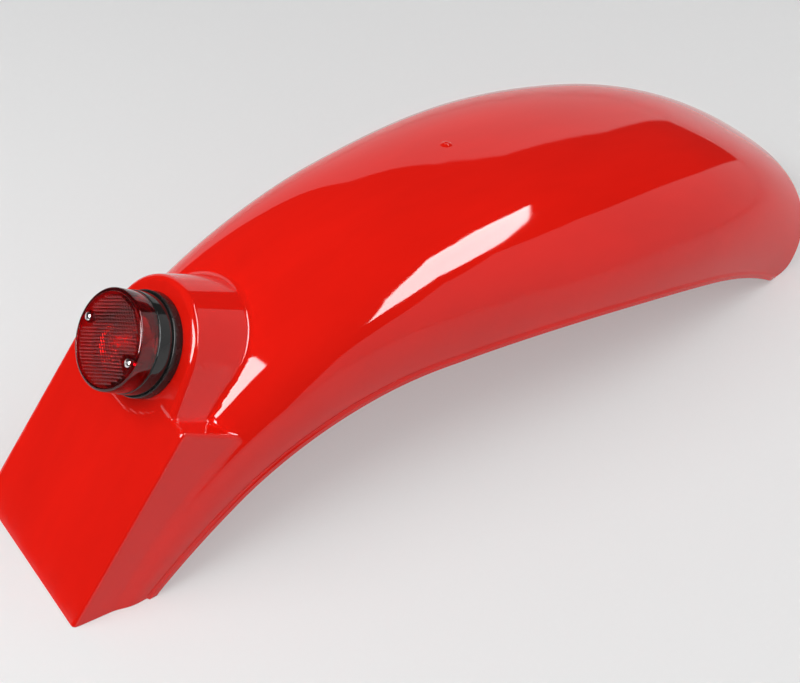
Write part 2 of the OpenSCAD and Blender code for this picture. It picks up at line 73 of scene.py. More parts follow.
def length(name, description, millimetres):
    """A length property, with its default given in millimetres."""
    return bpy.props.FloatProperty(name=name, description=description, default=millimetres / 1000,
                                   unit="LENGTH", precision=5)


def angle(name, description, degrees):
    """An angle property, with its default given in degrees."""
    return bpy.props.FloatProperty(name=name, description=description, default=math.radians(degrees),
                                   subtype="ANGLE")


def colour(name, description, red, green, blue):
    """A linear colour property."""
    return bpy.props.FloatVectorProperty(name=name, description=description, default=(red, green, blue),
                                         subtype="COLOR", min=0, max=1)


class FenderShape(bpy.types.PropertyGroup):
    """Sizes of the moulded shell, as in the part's source but for finer tail edges and pedestal foot."""
    crown_tail_x: length("Crown tail X", "From the rear edge to the crown line's tail end", 24.5)
    crown_tail_z: length("Crown tail Z", "Height of the crown line's tail end", 20)
    crown_slope: angle("Crown slope", "Slope of the crown line at its tail end", 52)
    tail_arc_r: length("Tail arc radius", "Radius of the nearly straight tail arc", 585)
    tail_arc_turn: angle("Tail arc turn", "Turn of the tail arc", 10)
    bend_arc_r: length("Bend radius", "Radius of the bend under the lamp", 291)
    bend_arc_turn: angle("Bend turn", "Turn of the bend", 42.4)
    front_arc_r: length("Front arc radius", "Radius of the long front arc", 780)
    front_arc_turn: angle("Front arc turn", "Turn of the front arc", 18.6)
    nose_arc_r: length("Nose arc radius", "Radius of the nose arc down to the front edge", 392)
    width_tail: length("Width at the tail", "Width of the arch at the tail", 152)
    width_waist: length("Width at the waist", "Width of the arch a third of the way along", 176)
    width_shoulder: length("Width at the shoulder", "Width of the arch two thirds along", 233)
    width_front: length("Width at the front", "Width of the arch at the front edge", 213)
    depth_tail: length("Depth at the tail", "Crown to rim at the tail", 37)
    depth_waist: length("Depth at the waist", "Crown to rim a third of the way along", 74)
    depth_shoulder: length("Depth at the shoulder", "Crown to rim two thirds along", 77)
    depth_front: length("Depth at the front", "Crown to rim at the front edge", 83.5)
    section_power: bpy.props.FloatProperty(name="Section power", default=2.5,
                                           description="Squareness of the arch section")
    wall: length("Wall", "Wall of the moulding", 2.8)
    lip_h: length("Lip height", "Height of the thickened rim lip", 4.5)
    lip_out: length("Lip width", "How far the lip stands out of the skirt", 1.8)
    front_corner_r: length("Front corner radius", "Radius of the front edge's lower corners", 22)
    plate_slope: angle("Plate slope", "Slope of the number plate face", 49.6)
    plate_foot_w: length("Plate width at its foot", "Width of the plate at its rear edge", 137)
    plate_top_w: length("Plate width at the ledge", "Width of the plate at the ledge", 132)
    ledge_p: length("Ledge", "Distance up the plate to the ledge", 157)
    side_draft: angle("Side draft", "Outward draft of the tail's side walls", 10.4)
    ledge_draft: angle("Ledge draft", "Draft of the ledge", 9.6)
    box_depth_top: length("Box depth at the ledge", "Depth of the tail box at the ledge", 46)
    box_depth_foot: length("Box depth at its foot", "Depth of the tail box at its foot", 31)
    tail_edge_r: length("Tail edge radius", "Rounding of the tail's edges", 2.5)
    lamp_p: length("Lamp place", "Distance up the plate to the lamp's axis", 178.5)
    pad_raise: length("Pad height", "Height of the pad's centre over the plate", 1.3)
    pad_tilt: angle("Pad tilt", "How much the pad leans back from the plate", 1.6)
    ped_r: length("Pedestal radius", "Radius of the pedestal round the lamp", 46.5)
    ped_foot: length("Pedestal foot", "From the lamp's axis down to the shoulders", 24)
    ped_foot_w: length("Pedestal width", "Width of the pedestal at its shoulders", 103)
    ped_side_top: length("Pedestal side", "From the lamp's axis up to the straight sides' start", 14)
    ped_draft: angle("Pedestal draft", "Draft of the pedestal's walls", 7.6)
    ped_edge_r: length("Pedestal edge radius", "Rounding of the pedestal's face edge", 4)
    ped_depth: length("Pedestal depth", "Depth of the pedestal behind its face", 64)
    pedestal_fillet: length("Pedestal fillet", "Fillet where the pedestal grows out of the arch", 2.5)
    tail_fillet: length("Tail fillet", "Fillet where the tail box grows out of the arch", 1.8)
    rim_round: length("Rim rounding", "Rounding of the moulding's cut edges", 0.7)
    gate_s: length("Gate mark place", "Distance along the crown line to the gate mark", 399)
    gate_y: length("Gate mark offset", "Distance of the gate mark to the left of the middle", 22)
    gate_d: length("Gate mark size", "Diameter of the gate mark", 6)
    gate_h: length("Gate mark height", "Height of the gate mark", 1)


class LampShape(bpy.types.PropertyGroup):
    """Sizes of the tail lamp, as in the part's source but for a finer lens edge. Heights start at the pad."""
    seat_gap: length("Seat gap", "Gap under the gasket", 0.05)
    lens_r: length("Lens radius", "Outer radius of the lens", 33)
    lamp_h: length("Lamp height", "Height of the lens face", 31.5)
    lens_face_t: length("Face thickness", "Thickness of the lens face", 2.4)
    lens_wall: length("Lens wall", "Wall of the lens", 2.2)
    lens_edge_r: length("Lens edge radius", "Rounding of the lens's face edge", 1.7)
    lens_rim_w: length("Rim width", "Width of the lens's plain rim", 2.6)
    prism_sink: length("Prism floor", "Depth of the prism field under the rim", 0.6)
    prism_pitch: length("Prism pitch", "Distance between neighbouring prisms", 2.7)
    screw_pad_r: length("Screw pad radius", "Radius of the plain pads round the screws", 4.6)
    screw_offset: length("Screw offset", "From the lamp's axis to each lens screw", 26)
    post_r: length("Post radius", "Radius of the lens's screw posts", 3.8)
    seal_t: length("Seal", "Thickness of the seal under the lens", 0.8)
    base_wall: length("Base wall", "Wall of the lamp base", 2.4)
    base_out: length("Base lip", "How far the base stands out of the lens", 0.4)
    base_floor: length("Base floor", "Floor of the lamp base", 2.5)
    base_top: length("Base height", "Height of the base's rim", 17.2)
    gasket_floor: length("Gasket floor", "Floor of the gasket", 2)
    gasket_wall: length("Gasket wall", "Wall of the gasket's collar", 1.4)
    gasket_h: length("Gasket height", "Height of the gasket's collar", 6.8)
    slide_gap: length("Slide gap", "Gap between pieces that slide into each other", 0.15)
    holder_r: length("Holder radius", "Outer radius of the bulb holder", 8.55)
    ring_r: length("Ring radius", "Inner radius of the reflector's ring", 20.2)
    ring_wall: length("Ring wall", "Wall of the reflector's ring", 1.6)
    ring_top: length("Ring height", "Height of the reflector's ring", 11)
    boss_r: length("Boss radius", "Radius of the base's screw bosses", 3.6)
    boss_top: length("Boss height", "Height of the base's screw bosses", 14.2)
    screw_head_r: length("Screw head radius", "Radius of the lens screws' heads", 2.9)
    screw_head_h: length("Screw head height", "Height of the lens screws' heads", 1.8)
    screw_sink: length("Screw recess", "Depth of the recess under each head", 1)
    slot_w: length("Slot width", "Width of the screws' slots", 0.9)
    slot_d: length("Slot depth", "Depth of the screws' slots", 0.8)


class FenderFinish(bpy.types.PropertyGroup):
    """Colours of the fender and its lamp."""
    plastic: colour("Plastic", "Colour of the moulded shell", 0.84, 0.010, 0.004)
    lens: colour("Lens", "Colour of the lens", 0.60, 0.002, 0.006)
    black: colour("Base", "Colour of the lamp base", 0.012, 0.013, 0.013)
    rubber: colour("Gasket", "Colour of the gasket", 0.016, 0.015, 0.015)
    floor: colour("Floor", "Colour of the studio floor", 0.80, 0.80, 0.80)


# Shader nodes

class Wire:
    """A socket of a shader. Python's operators on it add Math nodes."""

    def __init__(self, graph, socket):
        self.graph, self.socket = graph, socket

    def maths(self, operation, *others):
        return self.graph.add("ShaderNodeMath", {"operation": operation}, dict(enumerate((self, *others))))

    def __add__(self, other):
        return self.maths("ADD", other)

    __radd__ = __add__

    def __mul__(self, other):
        return self.maths("MULTIPLY", other)

    __rmul__ = __mul__

    def __sub__(self, other):
        return self.maths("SUBTRACT", other)

    def __rsub__(self, other):
        return self.graph.add("ShaderNodeMath", {"operation": "SUBTRACT"}, {0: other, 1: self})

    def highest(self, *others):
        """The highest of this wire and the others."""
        result = self
        for other in others:
            result = result.maths("MAXIMUM", other)
        return result


class Graph:
    """The nodes of one shader tree."""

    def __init__(self, tree):
        self.tree = tree

    def add(self, kind, settings=None, inputs=None, output=0):
        """Adds a node: its settings first, then the values or wires of its sockets."""
        node = self.tree.nodes.new(kind)
        for key, value in (settings or {}).items():
            setattr(node, key, value)
        for key, value in (inputs or {}).items():
            self.join(value, node.inputs[key])
        return Wire(self, node.outputs[output])

    def join(self, value, socket):
        """Links a wire to a socket, or sets the socket's value."""
        if isinstance(value, Wire):
            self.tree.links.new(value.socket, socket)
        else:
            socket.default_value = value

    def place(self):
        return self.add("ShaderNodeTexCoord", output="Object")

    def noise(self, scale, detail=3.0, roughness=0.5, stretch=(1, 1, 1)):
        """Noise from 0 to 1, with its scale in waves a metre."""
        spot = self.add("ShaderNodeMapping", {}, {"Vector": self.place(), "Scale": stretch})
        return self.add("ShaderNodeTexNoise", {}, {"Vector": spot, "Scale": scale, "Detail": detail,
                                                   "Roughness": roughness})

    def between(self, mask, low, high):
        """A colour that goes from low to high with the mask."""
        low, high = (c if isinstance(c, Wire) else (*c, 1) for c in (low, high))
        return self.add("ShaderNodeMix", {"data_type": "RGBA"}, {"Factor": mask, "A": low, "B": high}, output=2)

    def band(self, value, low, high, out_low=0.0, out_high=1.0):
        """Maps low..high to out_low..out_high and clamps it."""
        return self.add("ShaderNodeMapRange", {}, {"Value": value, "From Min": low, "From Max": high,
                                                   "To Min": out_low, "To Max": out_high})

    def bump(self, height, distance, strength=1.0):
        return self.add("ShaderNodeBump", {}, {"Height": height, "Distance": distance, "Strength": strength})


class Finish(Graph):
    """The nodes of one material, with a Principled shader at their end."""

    def __init__(self, name, **constants):
        self.material = bpy.data.materials.new(name + "_finish")
        self.material.use_nodes = True
        super().__init__(self.material.node_tree)
        self.shader = self.tree.nodes["Principled BSDF"]
        for key, value in constants.items():
            self.shader.inputs[key.replace("_", " ")].default_value = value

    def feed(self, **wires):
        """Links or sets sockets of the Principled shader."""
        for key, value in wires.items():
            self.join(value, self.shader.inputs[key.replace("_", " ")])
        return self.material


def shade_of(colour, factor):
    """The colour, made darker or lighter."""
    return tuple(min(1, c * factor) for c in colour)


def moulded_plastic(finish):
    """Gloss red plastic, with faint flow marks, a shallow ripple and a little haze in the gloss."""
    g = Finish("red_plastic", IOR=1.5)
    flow = g.noise(9, 3, 0.6, (1, 3, 1))
    base = g.between(g.band(flow, 0.3, 0.7), shade_of(finish.plastic, 0.95), shade_of(finish.plastic, 1.04))
    haze = g.noise(38, 5, 0.62)
    rough = g.band(haze, 0.35, 0.75, 0.03, 0.06)
    return g.feed(Base_Color=base, Roughness=rough, Normal=g.bump(g.noise(45, 2, 0.4), 0.00004))


def lens_acrylic(finish):
    """Transparent red acrylic."""
    g = Finish("lens_red", IOR=1.49, Transmission_Weight=0.96)
    cloud = g.noise(60, 3, 0.5)
    base = g.between(cloud, shade_of(finish.lens, 0.8), shade_of(finish.lens, 1.15))
    rough = g.band(g.noise(300, 3, 0.5), 0.3, 0.7, 0.03, 0.07)
    return g.feed(Base_Color=base, Roughness=rough)


def base_plastic(finish):
    """Black moulded plastic with a slight haze."""
    g = Finish("black_plastic", IOR=1.5)
    haze = g.noise(90, 4, 0.6)
    base = g.between(haze, shade_of(finish.black, 0.7), shade_of(finish.black, 1.6))
    rough = g.band(haze, 0.3, 0.7, 0.05, 0.10)
    return g.feed(Base_Color=base, Roughness=rough, Normal=g.bump(g.noise(500, 2), 0.00003))


def gasket_rubber(finish):
    """Satin rubber with a fine grain and paler scuffs."""
    g = Finish("gasket_rubber", IOR=1.45)
    scuff = g.band(g.noise(140, 5, 0.7), 0.55, 0.8)
    base = g.between(scuff, finish.rubber, shade_of(finish.rubber, 1.8))
    rough = g.band(g.noise(60, 4), 0.3, 0.7, 0.20, 0.32)
    return g.feed(Base_Color=base, Roughness=rough, Normal=g.bump(g.noise(1800, 3), 0.00002))


def plated(name, low, high, rough_low, rough_high, grain=(1, 1, 1), scale=400.0, pit=0.00002):
    """A metal with a directional grain and cloudier spots."""
    g = Finish(name, Metallic=1.0)
    cloud = g.noise(120, 4, 0.6)
    base = g.between(g.band(cloud, 0.35, 0.7), low, high)
    rough = g.band(g.noise(scale, 3, 0.6, grain), 0.3, 0.7, rough_low, rough_high)
    return g.feed(Base_Color=base, Roughness=rough, Normal=g.bump(g.noise(scale * 2, 2, 0.5, grain), pit))


def phenolic_board():
    """Brown pressed board with darker fibres."""
    g = Finish("brown_insulator", IOR=1.5)
    fibre = g.noise(300, 5, 0.7, (1, 6, 1))
    base = g.between(fibre, (0.10, 0.04, 0.018), (0.26, 0.12, 0.05))
    return g.feed(Base_Color=base, Roughness=g.band(fibre, 0.3, 0.7, 0.45, 0.65), Normal=g.bump(fibre, 0.00005))


def bulb_envelope():
    """Clear bulb glass with the faintest smoke."""
    g = Finish("clear_glass", IOR=1.5, Transmission_Weight=1.0)
    smoke = g.noise(90, 3)
    base = g.between(smoke, (0.86, 0.86, 0.84), (0.97, 0.97, 0.96))
    return g.feed(Base_Color=base, Roughness=g.band(smoke, 0.3, 0.7, 0.01, 0.04))


PLATINGS = {
    "reflector_silver": ((0.78, 0.78, 0.78), (0.92, 0.92, 0.92), 0.05, 0.12),
    "chrome_screw": ((0.70, 0.71, 0.72), (0.88, 0.88, 0.88), 0.06, 0.16),
    "zinc_steel": ((0.42, 0.43, 0.44), (0.66, 0.66, 0.64), 0.25, 0.45, (1, 5, 1)),
    "brass_contact": ((0.50, 0.33, 0.12), (0.76, 0.55, 0.24), 0.22, 0.4),
}
MOULDINGS = {"red_plastic": moulded_plastic, "lens_red": lens_acrylic, "black_plastic": base_plastic,
             "gasket_rubber": gasket_rubber}
OTHERS = {"brown_insulator": phenolic_board, "clear_glass": bulb_envelope}


def finish_material(slot):
    """The material of a record slot, made once."""
    made = bpy.data.materials.get(slot + "_finish")
    if made:
        return made
    if slot in PLATINGS:
        return plated(slot, *PLATINGS[slot])
    if slot in MOULDINGS:
        return MOULDINGS[slot](bpy.context.scene.fender_finish)
    return OTHERS[slot]()


# The shell's form

def round_union(a, b, radius):
    """The union of two distance fields, with a fillet of that radius where they meet."""
    u, v = np.maximum(radius - a, 0), np.maximum(radius - b, 0)
    return np.maximum(radius, np.minimum(a, b)) - np.hypot(u, v)


def round_cut(planes, radius):
    """The space behind all of several planes, with its edges rounded."""
    raised = np.stack(planes) + radius
    return np.minimum(raised.max(0), 0) + np.sqrt((np.maximum(raised, 0) ** 2).sum(0)) - radius


class ShellForm:
    """The moulding's form, in metres, with X from its rear edge: arcs, sections and signed distance fields."""

    # The lip narrows over this length, and is at its narrowest as far again from the front edge
    LIP_FADE = 0.012
    # The part of the lip's width that is left there
    LIP_LEFT = 0.1
    # How far below the plate's foot the tail box has its lesser depth
    BOX_BURIED = 0.034
    # How much further down the tail box goes inside the hollow, so that it is open below
    HOLLOW_DEEPER = 0.02

    def __init__(self, shape):
        c = self.c = shape
        self.radii = (c.tail_arc_r, c.bend_arc_r, c.front_arc_r, c.nose_arc_r)
        bend_phi = c.crown_slope - c.tail_arc_turn
        front_phi = bend_phi - c.bend_arc_turn
        self.phis = (c.crown_slope, bend_phi, front_phi, front_phi - c.front_arc_turn)
        at = np.array([c.crown_tail_x, c.crown_tail_z])
        self.centres, self.starts = [], [0.0]
        for i, (r, phi) in enumerate(zip(self.radii, self.phis)):
            centre = at + r * np.array([math.sin(phi), -math.cos(phi)])
            self.centres.append(centre)
            if i < 3:
                after = self.phis[i + 1]
                at = centre + r * np.array([-math.sin(after), math.cos(after)])
                self.starts.append(self.starts[-1] + r * (phi - after))
        r, corner = c.nose_arc_r, c.front_corner_r
        reach = r - c.depth_front + corner
        self.end_phi = (-math.atan2(corner, reach)
                        - math.acos((corner - self.centres[3][1]) / math.hypot(reach, corner)))
        self.crown_len = self.starts[3] + r * (self.phis[3] - self.end_phi)
        self.length = self.crown_point(np.array([self.crown_len]))[0][0]
        self.spread = math.tan(c.ped_draft) * c.ped_depth

    # The crown line
    def crown_point(self, s):
        """X, Z and slope of the crown line at distances s along it."""
        s = np.asarray(s, float)
        arc = sum((s >= start).astype(int) for start in self.starts[1:])
        r = np.choose(arc, self.radii)
        phi = np.choose(arc, self.phis) - (s - np.choose(arc, self.starts)) / r
        x = np.choose(arc, [p[0] for p in self.centres]) - r * np.sin(phi)
        z = np.choose(arc, [p[1] for p in self.centres]) + r * np.cos(phi)
        return x, z, phi

    def locate(self, x, z):
        """Distance along the crown line, and height over it."""
        phis = [np.arctan2(-(x - p[0]), z - p[1]) for p in self.centres]
        arc = np.select([phis[3] < self.phis[3], phis[2] < self.phis[2], phis[1] < self.phis[1]], [3, 2, 1], 0)
        s = np.choose(arc, [self.starts[i] + self.radii[i] * (self.phis[i] - phis[i]) for i in range(4)])
        h = np.choose(arc, [np.hypot(x - p[0], z - p[1]) - r for p, r in zip(self.centres, self.radii)])
        return s, h

    # Section sizes
    def sized(self, sizes, s):
        """A smooth curve through four sizes spaced evenly from tail to front."""
        k = np.array([2 * sizes[0] - sizes[1], *sizes, 2 * sizes[3] - sizes[2]])
        x = 3 * np.clip(np.asarray(s) / self.crown_len, 0, 1)
        i = np.minimum(np.floor(x), 2).astype(int)
        u = x - i
        a, b, c, d = k[i], k[i + 1], k[i + 2], k[i + 3]
        return (2 * b + (c - a) * u + (2 * a - 5 * b + 4 * c - d) * u ** 2 + (3 * b - a - 3 * c + d) * u ** 3) / 2

    def half_width(self, s):
        c = self.c
        return self.sized((c.width_tail, c.width_waist, c.width_shoulder, c.width_front), s) / 2

    def depth(self, s):
        c = self.c
        return self.sized((c.depth_tail, c.depth_waist, c.depth_shoulder, c.depth_front), s)

    def foot(self, s):
        """Depth at which the arch section has become upright."""
        return self.depth(s) - self.c.lip_h - self.c.lip_out

    # Distance fields
    def arch(self, y, s, h):
        n = self.c.section_power
        w, foot = self.half_width(s), self.foot(s)
        u, t = np.maximum((foot + h) / foot, 0), np.abs(y) / w
        g = u ** n + t ** n + 1e-9
        slope = g ** (1 / n - 1) * np.hypot(u ** (n - 1) / foot, t ** (n - 1) / w)
        return (g ** (1 / n) - 1) / np.maximum(slope, 1e-3)

    def lip(self, y, s, h):
        r = self.c.rim_round
        ahead = np.clip((self.crown_len - self.LIP_FADE - s) / self.LIP_FADE, 0, 1)
        stand = self.c.lip_out * (self.LIP_LEFT + (1 - self.LIP_LEFT) * ahead)
        out = np.abs(y) - self.half_width(s) - stand
        up = h + self.depth(s) - self.c.lip_h
        return round_cut([out, up], r)

    def tail_box(self, p, q, y, deeper=0.0):
        c = self.c
        r, lean = c.tail_edge_r, math.tan(c.side_draft)
        half = (c.plate_foot_w + (c.plate_top_w - c.plate_foot_w) * p / c.ledge_p) / 2
        side = (np.abs(y) - half + r - (-q - r) * lean) * math.cos(c.side_draft) - r
        rise = c.box_depth_top * math.tan(c.ledge_draft) / (c.box_depth_top - r)
        ledge = (p - (c.ledge_p - r) - (-q - r) * rise) / math.hypot(1, rise) - r
        box = round_cut([q, side, ledge], r)
        buried = self.BOX_BURIED
        fall = (c.box_depth_top - c.box_depth_foot) / (c.ledge_p - r + buried)
        bottom = (-q - c.box_depth_foot - deeper - fall * (p + buried)) / math.hypot(1, fall) - r
        return np.maximum(box, bottom)

    def pedestal(self, a, b, y):
        c = self.c
        r, span = c.ped_edge_r, c.ped_depth - c.ped_edge_r
        lean = self.spread / span
        rho = np.hypot(a, y)
        cone = (rho - (c.ped_r - r) - (-b - r) * lean) / math.hypot(1, lean) - r
        boss = round_cut([b, cone], r)
        low, foot_y = r - c.ped_foot, c.ped_foot_w / 2 - r
        side_y = math.sqrt(c.ped_r ** 2 - c.ped_side_top ** 2) - r
        turn = (side_y - foot_y) / (c.ped_side_top - low)
        line = foot_y + turn * (a - low) + (-b - r) * lean
        side = (np.abs(y) - line) / math.sqrt(1 + turn ** 2 + lean ** 2) - r
        shoulders = round_cut([b, low - a - r, side, a - c.ped_side_top - r], r)
        return np.maximum(np.minimum(boss, shoulders), -b - c.ped_depth)

    def plate_place(self, x, z):
        """Distance up the plate and height over it."""
        sin, cos = math.sin(self.c.plate_slope), math.cos(self.c.plate_slope)
        return x * cos + z * sin, z * cos - x * sin

    def skin(self, points, deeper=0.0):
        """The outer form without its lip."""
        c = self.c
        x, y, z = points.T
        s, h = self.locate(x, z)
        p, q = self.plate_place(x, z)
        dp, dq = p - c.lamp_p, q - c.pad_raise
        sin, cos = math.sin(c.pad_tilt), math.cos(c.pad_tilt)
        body = round_union(self.arch(y, s, h), self.tail_box(p, q, y, deeper), c.tail_fillet)
        fillet = np.clip(-q - 0.001, 0.0008, c.pedestal_fillet)
        return round_union(body, self.pedestal(dp * cos + dq * sin, dq * cos - dp * sin, y), fillet)

    def outside(self, points):
        x, y, z = points.T
        s, h = self.locate(x, z)
        return round_union(self.skin(points), self.lip(y, s, h), self.c.rim_round)

    def hollow(self, points):
        """The inner face: the outer form without its lip, set in by the wall."""
        return self.skin(points, self.HOLLOW_DEEPER) + self.c.wall


def slope_of(field, points, step=2e-5):
    """The gradient of a field, by central differences."""
    parts = []
    for axis in range(3):
        shift = np.zeros(3)
        shift[axis] = step
        parts.append((field(points + shift) - field(points - shift)) / (2 * step))
    return np.stack(parts, 1)


def onto(field, points, rounds=3):
    """Moves points to where a field is zero, along its gradient."""
    for _ in range(rounds):
        g = slope_of(field, points)
        size = np.maximum((g ** 2).sum(1), 0.05)
        move = (field(points) / size)[:, None] * g
        points = points - np.clip(move, -0.004, 0.004)
    return points


def settled(field, row, radius, side):
    """Slides a row of points along a face, until a rounded edge of that radius would just reach the ground.
    Side is 1 for the outer face and -1 for the inner one."""
    for _ in range(12):
        row = onto(field, row, 1)
        n = unit(slope_of(field, row))
        up = np.array([0, 0, 1.0]) - n * n[:, 2:3]
        miss = radius * (1 + side * n[:, 2]) - row[:, 2]
        row = row + np.clip(miss / np.maximum(up[:, 2], 0.2), -0.003, 0.003)[:, None] * up
    return row


def unit(vectors):
    """Vectors of length 1."""
    return vectors / np.maximum(np.linalg.norm(vectors, axis=-1, keepdims=True), 1e-12)


class ShellMesh:
    """The moulding's mesh: a lattice over its outer face, one over its inner face and rounded edges between."""

    STEPS = ((0.128, 0.0036), (0.262, 0.0013), (1, 0.0046))
    HALF_LINES, SKIRT_LINES = 66, 8
    RELAX_ROUNDS = 60
    BEND_PULL = 12
    EDGE_STEPS = 3

    def __init__(self, form):
        self.form = form
        self.lines()
        self.outer = self.cast(self.s)
        self.outer[0] = settled(form.outside, self.outer[0], form.c.rim_round, 1)
        self.relax()
        self.inner = self.sink()

    def lines(self):
        """The lattice's lines: section places across, and distances along the crown line."""
        f, c = self.form, self.form.c
        turn = np.linspace(0, np.pi / 2, 2001)
        e = 2 / c.section_power
        y, h = 0.085 * np.sin(turn) ** e, 0.075 * np.abs(np.cos(turn)) ** e
        run = np.concatenate([[0], np.cumsum(np.hypot(np.diff(y), np.diff(h)))])
        main = np.interp(np.linspace(0, 1, self.HALF_LINES + 1), run / run[-1], turn)
        skirt = 1 + np.linspace(0, 1, self.SKIRT_LINES + 1)[1:]
        half = np.concatenate([main, skirt * np.pi / 2])
        self.t = np.concatenate([-half[:0:-1], half])
        self.main = np.abs(self.t) < np.pi / 2 - 1e-9
        # the tail end of each line lies on the ground, its front end on the rounded front edge
        tries = np.linspace(-0.06, 0.012, 37)
        low = self.cast(np.repeat(tries[:, None], len(self.t), 1))
        lift = c.rim_round * 1.6
        first = np.array([np.interp(lift, low[:, j, 2], tries) for j in range(len(self.t))])
        y, h, _ = self.section(np.full(len(self.t), f.crown_len), self.t)
        rise = h + c.depth_front
        r = c.front_corner_r
        back = r - np.sqrt(np.maximum(r ** 2 - np.maximum(r - rise, 0) ** 2, 0))
        last = f.crown_len - (back + c.rim_round) / (1 + h / c.nose_arc_r)
        middle = len(self.t) // 2
        along = [first[middle]]
        for end, step in self.STEPS:
            end = min(end, last[middle])
            along += list(np.linspace(along[-1], end, round((end - along[-1]) / step) + 1)[1:])
        along = np.array(along)
        share = (along - along[0]) / (along[-1] - along[0])
        self.s = first + (last - first) * share[:, None]

    def section(self, s, t):
        """Points [y, h] of the arch's section, and the directions square to it."""
        f, c = self.form, self.form.c
        n = c.section_power
        w, foot, depth = f.half_width(s), f.foot(s), f.depth(s)
        a = np.minimum(np.abs(t), np.pi / 2)
        u, v = np.abs(np.cos(a)) ** (2 / n), np.sin(a) ** (2 / n)
        down = np.maximum(np.abs(t) / (np.pi / 2) - 1, 0) * (depth - foot - c.rim_round)
        out = np.stack([v ** (n - 1) / w * np.sign(t), u ** (n - 1) / foot], -1)
        return np.sign(t) * w * v, -foot * (1 - u) - down, unit(out)

    def cast(self, s):
        """The outermost crossing of the outer face by a ray square to the arch, for each s and line."""
        f = self.form
        t = np.broadcast_to(self.t, s.shape)
        y, h, out = self.section(s, t)
        x0, z0, phi = f.crown_point(s)
        sin, cos = np.sin(phi), np.cos(phi)
        start = np.stack([x0 - sin * h, y, z0 + cos * h], -1)
        ray = np.stack([-sin * out[..., 1], out[..., 0], cos * out[..., 1]], -1)
        reach = np.linspace(-0.003, 0.06, 43)
        inside = np.stack([f.outside((start + r * ray).reshape(-1, 3)).reshape(s.shape) < 0 for r in reach])
        last = len(reach) - 1 - np.argmax(inside[::-1], axis=0)
        low, high = reach[last], reach[np.minimum(last + 1, len(reach) - 1)]
        for _ in range(14):
            middle = (low + high) / 2
            within = f.outside((start + middle[..., None] * ray).reshape(-1, 3)).reshape(s.shape) < 0
            low, high = np.where(within, middle, low), np.where(within, high, middle)
        return start + ((low + high) / 2)[..., None] * ray

    def relax(self):
        """Slides the lattice along the surface: points spread over the walls and gather at the bends."""
        f, p = self.form, self.outer
        inner = np.zeros(p.shape[:2], bool)
        inner[1:-1] = self.main
        inner[:, 0] = inner[:, -1] = False
        n = unit(slope_of(f.outside, p.reshape(-1, 3))).reshape(p.shape)
        for turn in range(self.RELAX_ROUNDS):
            pull = min(1, turn / 10) * self.BEND_PULL
            total, weight = 0, 0
            for shift in ((2, 1), (0, 1), (1, 2), (1, 0)):
                rows = slice(shift[0], p.shape[0] - 2 + shift[0])
                lines = slice(shift[1], p.shape[1] - 2 + shift[1])
                w = 1 + pull * np.linalg.norm(n[rows, lines] - n[1:-1, 1:-1], axis=-1, keepdims=True)
                total, weight = total + w * p[rows, lines], weight + w
            mean = p.copy()
            mean[1:-1, 1:-1] = total / weight
            moved = onto(f.outside, p[inner] + 0.6 * (mean[inner] - p[inner]), 1)
            p[inner] = moved
            n[inner] = unit(slope_of(f.outside, moved))
        p[inner] = onto(f.outside, p[inner], 2)
        self.outer = p
        self.outer_n = unit(slope_of(f.outside, p.reshape(-1, 3))).reshape(p.shape)

    def sink(self):
        """The inner face, opposite the outer one."""
        f, c = self.form, self.form.c
        skin_n = unit(slope_of(f.skin, self.outer.reshape(-1, 3)))
        start = self.outer.reshape(-1, 3) - c.wall * skin_n
        p = onto(f.hollow, start, 4).reshape(self.outer.shape)
        n = -unit(slope_of(f.hollow, p.reshape(-1, 3))).reshape(p.shape)
        p[0] = settled(f.hollow, p[0], c.rim_round, -1)
        n[0] = -unit(slope_of(f.hollow, p[0]))
        self.inner_n = n
        return p

    def cut_faces(self):
        """For each point of the lattice's border, the direction that its cut face looks in."""
        f, c = self.form, self.form.c
        rows, lines = self.s.shape
        face = np.zeros((rows, lines, 3))
        phi = f.crown_point(self.s)[2]
        down = np.stack([np.sin(phi), 0 * phi, -np.cos(phi)], -1)
        ahead = np.stack([np.cos(phi), 0 * phi, np.sin(phi)], -1)
        face[:, 0], face[:, -1] = down[:, 0], down[:, -1]
        _, h = f.locate(self.outer[-1, :, 0], self.outer[-1, :, 2])
        r = c.front_corner_r
        dip = np.clip((r - h - c.depth_front) / r, 0, 1)
        face[-1] = np.sqrt(1 - dip ** 2)[:, None] * ahead[-1] + dip[:, None] * down[-1]
        face[0] = (0, 0, -1)
        for j in (0, -1):
            face[0, j] = unit(face[0, j] + down[0, j])
        return face

    def build(self):
        """Vertices, faces and normals of the closed mesh."""
        rows, lines = self.s.shape
        r = self.form.c.rim_round
        grid = np.arange(rows * lines).reshape(rows, lines)
        loop = np.concatenate([grid[0], grid[1:, -1], grid[-1, -2::-1], grid[-2:0:-1, 0]])
        count = rows * lines
        verts = [self.outer.reshape(-1, 3), self.inner.reshape(-1, 3)]
        normals = [self.outer_n.reshape(-1, 3), self.inner_n.reshape(-1, 3)]
        cut = self.cut_faces().reshape(-1, 3)[loop]

        def arc(base, n, part):
            turn = np.arccos(np.clip((n * cut).sum(1), -0.98, 0.98))[:, None]
            way = (np.sin((1 - part) * turn) * n + np.sin(part * turn) * cut) / np.sin(turn)
            return base - r * n + r * way, unit(way)

